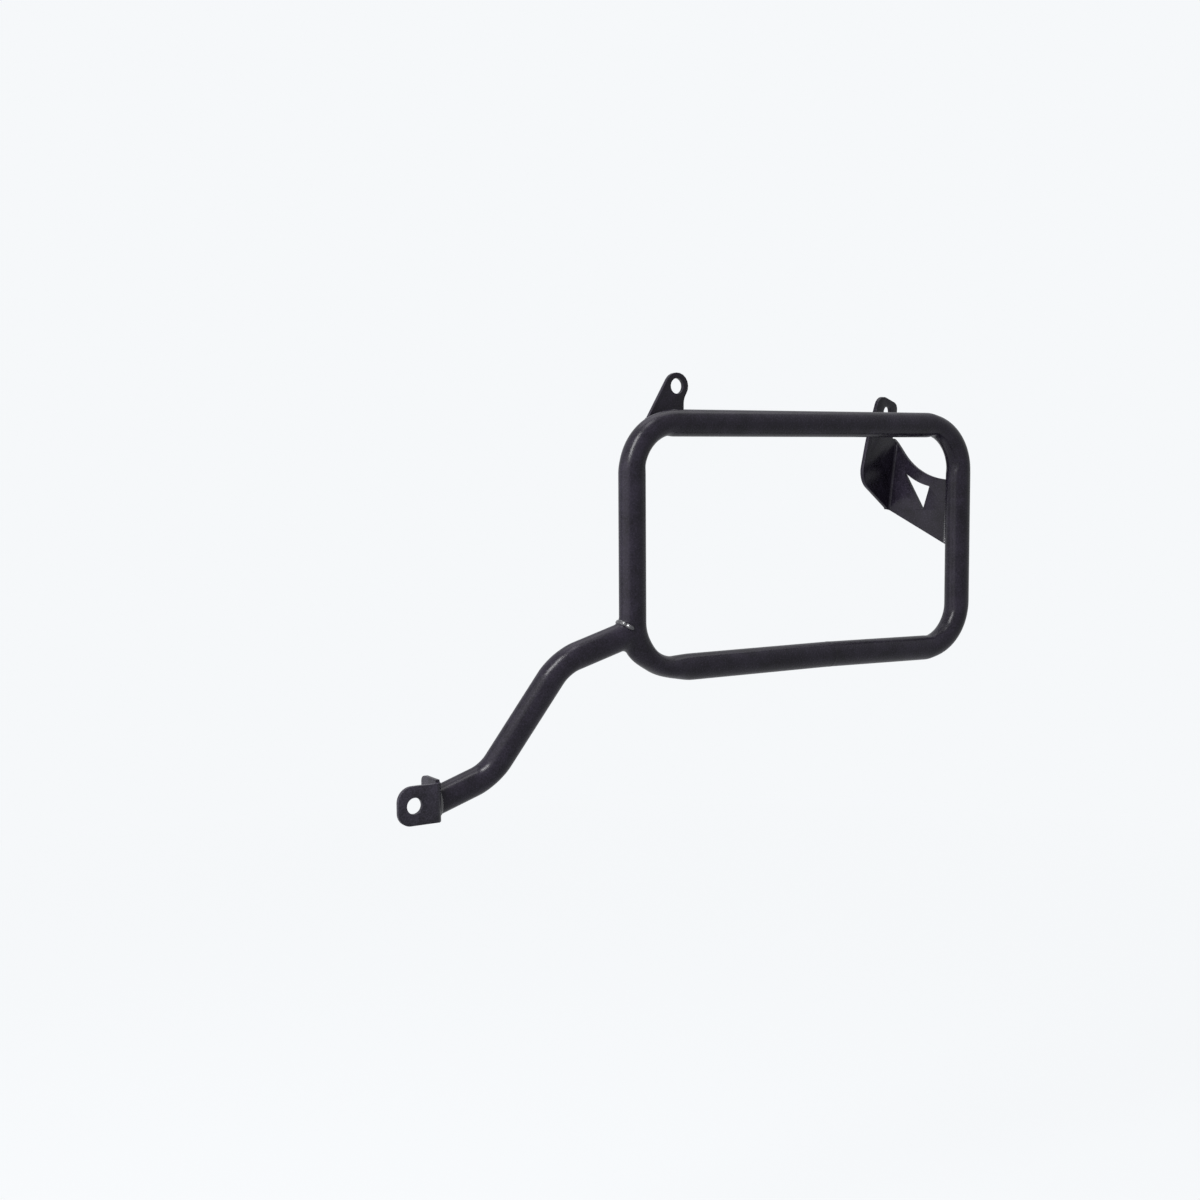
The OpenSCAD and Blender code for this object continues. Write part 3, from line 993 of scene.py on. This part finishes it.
@dataclass
class Welds:
    """Every fillet weld of the frame, laid along its seam. Lengths are in millimetres.

    Attributes:
        sizes, palette: main sizes of the frame and materials of the part.
        tab_lead: length by which the tab's upper bead starts ahead of its base.
        inset: distance of a bead's middle from the seam.
        sheet_bead, foot_bead, crown_bead: radii of the beads on the sheets, foot and joint.
        crown_pitch: distance between the ripples of the heavier bead on top of the joint.
        crown: half of the turn that it covers, in degrees.
        fillet, fillet_depth: reach of the blended joint weld on each tube and depth of its edges.
        fillet_steps: faces across it.
        foot_off: distance of the foot bead's middle from the stay's surface and its cut end.
        places: steps along a straight seam.
        joint_reach, tab_reach, arm_reach: lengths within which a seam is found.
        overlap, jitter: half length of a ripple over its pitch, and how far its size strays.
    """

    sizes: Sizes
    palette: Palette
    tab_lead: float = 4.0
    inset: float = 0.35
    sheet_bead: float = 1.9
    foot_bead: float = 1.5
    crown_bead: float = 2.1
    crown_pitch: float = 4.2
    crown: float = 44.0
    fillet: float = 5.5
    fillet_depth: float = 0.12
    fillet_steps: int = 10
    foot_off: Span = (0.2, 0.4)
    places: int = 30
    joint_reach: float = 30.0
    tab_reach: float = 12.0
    arm_reach: float = 20.0
    overlap: float = 1.05
    jitter: float = 0.07

    def build(self) -> list[Object]:
        """Makes the blended weld round the joint and lays every bead.

        Returns:
            The pieces.
        """
        weld_tree = WeldTree()
        tree = weld_tree.build(self.palette.of(Finish.WELD))
        pieces = [self._joint_fillet()]
        return pieces + [self._lay(bead, tree, weld_tree.sockets) for bead in self.beads()]

    def beads(self) -> list[Bead]:
        """Draws up all beads.

        Returns:
            The beads, with their lines.
        """
        s, r = self.sizes, self.sheet_bead
        start, end = s.tab_base
        above = self._on_top_tube(start - self.tab_lead, end, s.sheet / 2)
        below = self._on_top_tube(start, end, -s.sheet / 2)
        top = self._over_joint()
        return [
            Bead("joint_crown", "stay_weld", top, self.crown_bead, 4, pitch=self.crown_pitch),
            Bead("foot_bead", "foot_weld", self._round_foot(), self.foot_bead, 5, closed=True),
            Bead("tab_bead_upper", "tab_weld_upper", above, r, 11),
            Bead("tab_bead_lower", "tab_weld_lower", below, r, 13),
            Bead("arm_bead_front", "arm_weld_front", self._on_rear_tube(0.0, -1), r, 17),
            Bead("arm_bead_rear", "arm_weld_rear", self._on_rear_tube(s.sheet, 1), r, 19),
        ]

    def _middle(self, p: Vector) -> Vector:
        """Finds the nearest point of the loop's centre line, but for its rear half.

        Args:
            p: a point near the front tube, its two bends or the top tube.

        Returns:
            The point of the centre line.
        """
        r, h = self.sizes.bend_r, self.sizes.loop_h
        if p.x < r and (p.z > -r or p.z < r - h):
            centre = Vector((r, 0, -r if p.z > -r else r - h))
            arm = Vector((p.x, 0, p.z)) - centre
            return centre + arm.normalized() * r
        return Vector((0, 0, p.z)) if p.x < r else Vector((p.x, 0, 0))

    def _seat(self, start: Vector, step: Vector, reach: float) -> Vector:
        """Moves a point until it leaves the loop's tube.

        Args:
            start: the point, inside the tube.
            step: direction to move it in.
            reach: length within which it leaves the tube.

        Returns:
            The place where it leaves.
        """
        def inside(gone: float) -> bool:
            """Tells whether the moved point is still in the tube."""
            p = start + step * gone
            return (p - self._middle(p)).length < self.sizes.tube_r

        return start + step * last_inside(inside, reach)

    def _seam(self) -> list[Seat]:
        """Follows the seam of the stay and the front tube.

        Returns:
            Its places, all the way round.
        """
        s = self.sizes
        along = (s.on_stay(*s.upper_bend) - s.joint).normalized()
        starts = [(s.joint + out * s.tube_r, out) for out in ways_round(along)]
        return [Seat(self._seat(p, along, self.joint_reach), out, along) for p, out in starts]

    def _joint_fillet(self) -> Object:
        """Makes the weld round the joint: a hollow strip, ground so that it runs out on both tubes.

        Returns:
            The piece.
        """
        s, deep = self.sizes, self.fillet_depth
        rings = []
        for seat in self._seam():
            on_stay = seat.place + seat.along * self.fillet - seat.out * deep
            wide = seat.place + seat.out * self.fillet
            middle = self._middle(wide)
            on_loop = middle + (wide - middle).normalized() * (s.tube_r - deep)
            bow = []
            for i in range(self.fillet_steps + 1):
                t = i / self.fillet_steps
                bend = seat.place * 2 * t * (1 - t)
                bow.append(on_stay * (1 - t) ** 2 + bend + on_loop * t ** 2)
            bow.append(seat.place - seat.out - seat.along)
            rings.append([s.in_part(p) for p in bow])
        bm = bmesh.new()
        skin(bm, rings, closed=True)
        return finish_mesh(bm, "joint_bead", self.palette.of(Finish.STEEL), ("stay_weld",))

    def _over_joint(self) -> list[Vector]:
        """Follows the top of the joint's seam, where the bead is heavier.

        Returns:
            The bead's line.
        """
        line = [seat.place + (seat.out + seat.along) * self.inset for seat in self._seam()]
        first = max(range(len(line)), key=lambda k: line[k].z)
        reach = round(self.crown / 360 * len(line))
        return [line[(first + k) % len(line)] for k in range(-reach, reach + 1)]

    def _round_foot(self) -> list[Vector]:
        """Follows the seam between the stay's cut end and the foot's folded leg.

        Returns:
            The bead's line.
        """
        s = self.sizes
        off_stay, off_cut = self.foot_off
        end = s.on_stay(*s.stay_cut)
        along = (end - s.on_stay(*s.lower_bend)).normalized()
        line = []
        for out in ways_round(along):
            base = end + out * (s.tube_r + off_stay)
            line.append(base + along * ((end.x + off_cut - base.x) / along.x))
        return line

    def _on_top_tube(self, start: float, end: float, z: float) -> list[Vector]:
        """Follows a seam between the tab's flange and the top tube.

        Args:
            start: place along X where it starts.
            end: place where it ends.
            z: height of the flange's face above the tube's middle.

        Returns:
            The bead's line.
        """
        off = Vector((0, self.inset, math.copysign(self.inset, z)))
        starts = [Vector((x, 0, z)) for x in evenly(start, end, self.places)]
        return [self._seat(p, INWARD, self.tab_reach) + off for p in starts]

    def _on_rear_tube(self, x: float, side: int) -> list[Vector]:
        """Follows a seam between the arm and the rear tube.

        Args:
            x: place of the arm's face behind its front face.
            side: 1 for a bead behind that face and -1 for one ahead of it.

        Returns:
            The bead's line.
        """
        s = self.sizes
        turn = turned(*s.arm_turn)
        foot = Vector((s.loop_l, 0, -s.arm_drop))
        run = (s.rear_top - s.rear_low).normalized()
        line = []
        for z in evenly(*s.arm_weld, self.places):
            def inside(y: float) -> bool:
                """Tells whether a point of the arm's face is still in the rear tube."""
                p = foot + turn @ Vector((x, y, z))
                return (p - s.rear_low).cross(run).length < s.tube_r

            y = last_inside(inside, self.arm_reach) + self.inset
            line.append(foot + turn @ Vector((x + side * self.inset, y, z)))
        return line

    def _lay(self, bead: Bead, tree: Tree, sockets: dict[str, str]) -> Object:
        """Runs the tree along one line.

        Args:
            bead: the bead to lay.
            tree: the ripple tree.
            sockets: identifiers of the tree's inputs.

        Returns:
            The bead as a plain mesh piece.
        """
        mesh = bpy.data.meshes.new(bead.name + "_line")
        points = [self.sizes.in_part(p) for p in bead.line]
        edges = [(i, i + 1) for i in range(len(points) - 1)]
        if bead.closed:
            edges.append((len(points) - 1, 0))
        mesh.from_pydata(points, edges, [])
        rough = link_object(bead.name + "_line", mesh)
        nodes = rough.modifiers.new("ripples", "NODES")
        nodes.node_group = tree
        nodes[sockets["Pitch"]] = bead.pitch * MM
        nodes[sockets["Radius"]] = bead.radius * MM
        nodes[sockets["Ripple Length"]] = bead.pitch * self.overlap * MM
        nodes[sockets["Jitter"]] = self.jitter
        nodes[sockets["Seed"]] = bead.seed
        return adopt(bake(rough, bead.name), bead.name, (bead.node,))


def last_inside(inside: Callable[[float], bool], reach: float) -> float:
    """Finds by halving how far something stays inside.

    Args:
        inside: tells whether it is inside at a length, as it is at 0 and isn't at reach.
        reach: the longest length.

    Returns:
        The length at which it leaves.
    """
    near, far = 0.0, reach
    for _ in range(HALVINGS):
        mid = (near + far) / 2
        near, far = (mid, far) if inside(mid) else (near, mid)
    return near


def ways_round(along: Vector) -> list[Vector]:
    """Gives the directions out of a tube, all the way round.

    Args:
        along: direction of the tube.

    Returns:
        As many directions as a tube has sides.
    """
    side = along.cross(INWARD).normalized()
    over = side.cross(along)
    turns = (2 * math.pi * k / SIDES for k in range(SIDES))
    return [side * math.cos(t) + over * math.sin(t) for t in turns]


def evenly(start: float, end: float, count: int) -> list[float]:
    """Values in count equal steps from start to end, with both."""
    return [start + (end - start) * i / count for i in range(count + 1)]


def turned(x: float, y: float, z: float) -> Matrix:
    """Rotation by x, y and z degrees about the fixed axes, in that order."""
    turns = [Matrix.Rotation(math.radians(a), 3, axis) for a, axis in zip((x, y, z), "XYZ")]
    return turns[2] @ turns[1] @ turns[0]


@dataclass(frozen=True)
class Lamp:
    """A soft rectangular lamp: its name, place, width, height in metres and power in watts."""

    name: str
    place: Triple
    width: float
    height: float
    power: float


@dataclass
class Studio:
    """Camera, lamps, floor and backdrop. Lengths are in metres and colours linear.

    Attributes:
        pale: colour of the backdrop and of the floor's glow.
        ambient, ambient_colour: strength and colour of the world's light on the object.
        floor_z, floor_half: height of the floor and half of its width.
        floor_paint: colour of its paint, which takes light and shadow.
        floor_glow: share of the floor under the object that shows as backdrop and not as paint.
        glow_span: distances from under the object between which that share grows to 1.
        target, lamps: the point that the lamps face, and the lamps.
        eye, right, up: place of the camera, and the directions right and up in its picture.
        sensor, lens: width of its sensor and its focal length, in millimetres.
        clip: nearest and farthest distance that it sees.
    """

    pale: Triple = (0.9216, 0.9387, 0.9559)
    ambient: float = 0.34
    ambient_colour: Triple = (0.95, 0.97, 1.0)
    floor_z: float = -0.62
    floor_half: float = 12.0
    floor_paint: Triple = (0.88, 0.9, 0.92)
    floor_glow: float = 0.93
    glow_span: Span = (0.3, 1.6)
    target: Triple = (0.03, 0.0, -0.1)
    lamps: tuple[Lamp, ...] = (
        Lamp("key", (-1.12, -0.24, 0.97), 0.36, 1.0, 34.0),
        Lamp("top", (0.37, 0.56, 1.4), 1.8, 0.8, 7.2),
        Lamp("above", (-0.25, -0.06, 1.5), 0.5, 0.4, 4.8),
        Lamp("left", (-1.6, 0.0, 0.0), 2.0, 1.6, 14.0),
    )
    eye: Triple = (-0.62614, -0.88832, -0.0495)
    right: Triple = (0.84372, -0.53674, -0.00637)
    up: Triple = (0.05203, 0.06996, 0.99619)
    sensor: float = 36.0
    lens: float = 48.0
    clip: Span = (0.05, 50.0)

    def build(self) -> None:
        """Builds everything round the object."""
        self._camera()
        self._world()
        self._floor()
        for lamp in self.lamps:
            self._lamp(lamp)
        bpy.context.scene.view_settings.view_transform = "Standard"

    def _camera(self) -> None:
        """Sets up the camera at the photograph's viewpoint, found from its tube edges."""
        data = bpy.data.cameras.new("camera")
        data.sensor_width = self.sensor
        data.lens = self.lens
        data.clip_start, data.clip_end = self.clip
        camera = bpy.data.objects.new("camera", data)
        x = Vector(self.right).normalized()
        z = x.cross(Vector(self.up)).normalized()
        axes = Matrix((x, z.cross(x), z)).transposed()
        camera.matrix_world = Matrix.Translation(self.eye) @ axes.to_4x4()
        bpy.context.scene.collection.objects.link(camera)
        bpy.context.scene.camera = camera

    def _world(self) -> None:
        """Shows the pale backdrop to camera and mirrored rays, and soft light to the rest."""
        world = bpy.data.worlds.new("studio")
        bpy.context.scene.world = world
        world.use_nodes = True
        tree = world.node_tree
        tree.nodes.clear()
        out, mix = tree.nodes.new("ShaderNodeOutputWorld"), tree.nodes.new("ShaderNodeMixShader")
        tree.links.new(self._seen_ray(tree), mix.inputs["Fac"])
        lights = ((self.ambient_colour, self.ambient), (self.pale, 1.0))
        for side, (colour, strength) in enumerate(lights, start=1):
            light = tree.nodes.new("ShaderNodeBackground")
            light.inputs["Color"].default_value = (*colour, 1)
            light.inputs["Strength"].default_value = strength
            tree.links.new(light.outputs["Background"], mix.inputs[side])
        tree.links.new(mix.outputs["Shader"], out.inputs["Surface"])

    @staticmethod
    def _seen_ray(tree: Tree) -> Socket:
        """Adds the value that is 1 for camera, glossy and transmission rays.

        Args:
            tree: tree that gets the nodes.

        Returns:
            The value.
        """
        path = tree.nodes.new("ShaderNodeLightPath")
        straight, mirrored, through = (
            path.outputs[f"Is {kind} Ray"] for kind in ("Camera", "Glossy", "Transmission")
        )
        return calculate(tree, "MAXIMUM", calculate(tree, "MAXIMUM", straight, mirrored), through)

    def _floor(self) -> None:
        """Lays the plain pale floor."""
        bm = bmesh.new()
        for x, y in ((-1, -1), (1, -1), (1, 1), (-1, 1)):
            bm.verts.new((x * self.floor_half, y * self.floor_half, self.floor_z))
        bm.faces.new(bm.verts)
        mesh = bpy.data.meshes.new("floor")
        bm.to_mesh(mesh)
        bm.free()
        mesh.materials.append(self._paint())
        floor = link_object("floor", mesh)
        floor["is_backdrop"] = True

    def _paint(self) -> Material:
        """Makes the floor's material, which blends into the backdrop and keeps the shadow.

        Returns:
            The material.
        """
        material = bpy.data.materials.new("floor_paint")
        material.use_nodes = True
        tree = material.node_tree
        paint = tree.nodes["Principled BSDF"]
        paint.inputs["Base Color"].default_value = (*self.floor_paint, 1)
        paint.inputs["Roughness"].default_value = 0.9
        paint.inputs["Specular IOR Level"].default_value = 0.0
        glow, mix = tree.nodes.new("ShaderNodeEmission"), tree.nodes.new("ShaderNodeMixShader")
        glow.inputs["Color"].default_value = (*self.pale, 1)
        glow.inputs["Strength"].default_value = 1.0
        share = calculate(tree, "MULTIPLY", self._seen_ray(tree), self._away_from_object(tree))
        tree.links.new(share, mix.inputs["Fac"])
        tree.links.new(paint.outputs["BSDF"], mix.inputs[1])
        tree.links.new(glow.outputs["Emission"], mix.inputs[2])
        tree.links.new(mix.outputs["Shader"], tree.nodes["Material Output"].inputs["Surface"])
        return material

    def _away_from_object(self, tree: Tree) -> Socket:
        """Adds the floor's share of backdrop, which grows with the distance from under the object.

        Args:
            tree: the floor material's tree.

        Returns:
            The share, up to 1.
        """
        place = tree.nodes.new("ShaderNodeTexCoord")
        flat, length = (tree.nodes.new("ShaderNodeVectorMath") for _ in range(2))
        flat.operation, length.operation = "MULTIPLY", "LENGTH"
        flat.inputs[1].default_value = (1, 1, 0)
        tree.links.new(place.outputs["Object"], flat.inputs[0])
        tree.links.new(flat.outputs["Vector"], length.inputs[0])
        return remap(tree, length.outputs["Value"], self.glow_span, (self.floor_glow, 1.0))

    def _lamp(self, lamp: Lamp) -> None:
        """Adds one lamp, facing the target.

        Args:
            lamp: the lamp.
        """
        data = bpy.data.lights.new(lamp.name, "AREA")
        data.shape = "RECTANGLE"
        data.size, data.size_y = lamp.width, lamp.height
        data.energy = lamp.power
        light = bpy.data.objects.new(lamp.name, data)
        light.location = lamp.place
        aim = Vector(self.target) - Vector(lamp.place)
        light.rotation_euler = aim.to_track_quat("-Z", "Y").to_euler()
        bpy.context.scene.collection.objects.link(light)


def box_of_all() -> list[list[float]]:
    """Lowest and highest corner of the whole object, as plain lists."""
    return [list(corner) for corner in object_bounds()]


def main() -> dict[str, list[list[float]]]:
    """Builds the scene in order.

    Returns:
        The object's box right after loading and when it is finished.
    """
    logging.basicConfig(level=logging.INFO, format="%(name)s: %(message)s")
    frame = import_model()
    before = box_of_all()
    sizes, palette = Sizes(), Palette.build()
    Studio().build()
    pieces = TubeWork(sizes, palette).build()
    pieces += SheetBrackets(palette).build(frame)
    pieces += Welds(sizes, palette).build()
    for piece in pieces:
        piece.data.calc_loop_triangles()
        log.info("%s: %d triangles", piece.name, len(piece.data.loop_triangles))
    return {"loaded": before, "finished": box_of_all()}


if __name__ == "__main__":
    main()
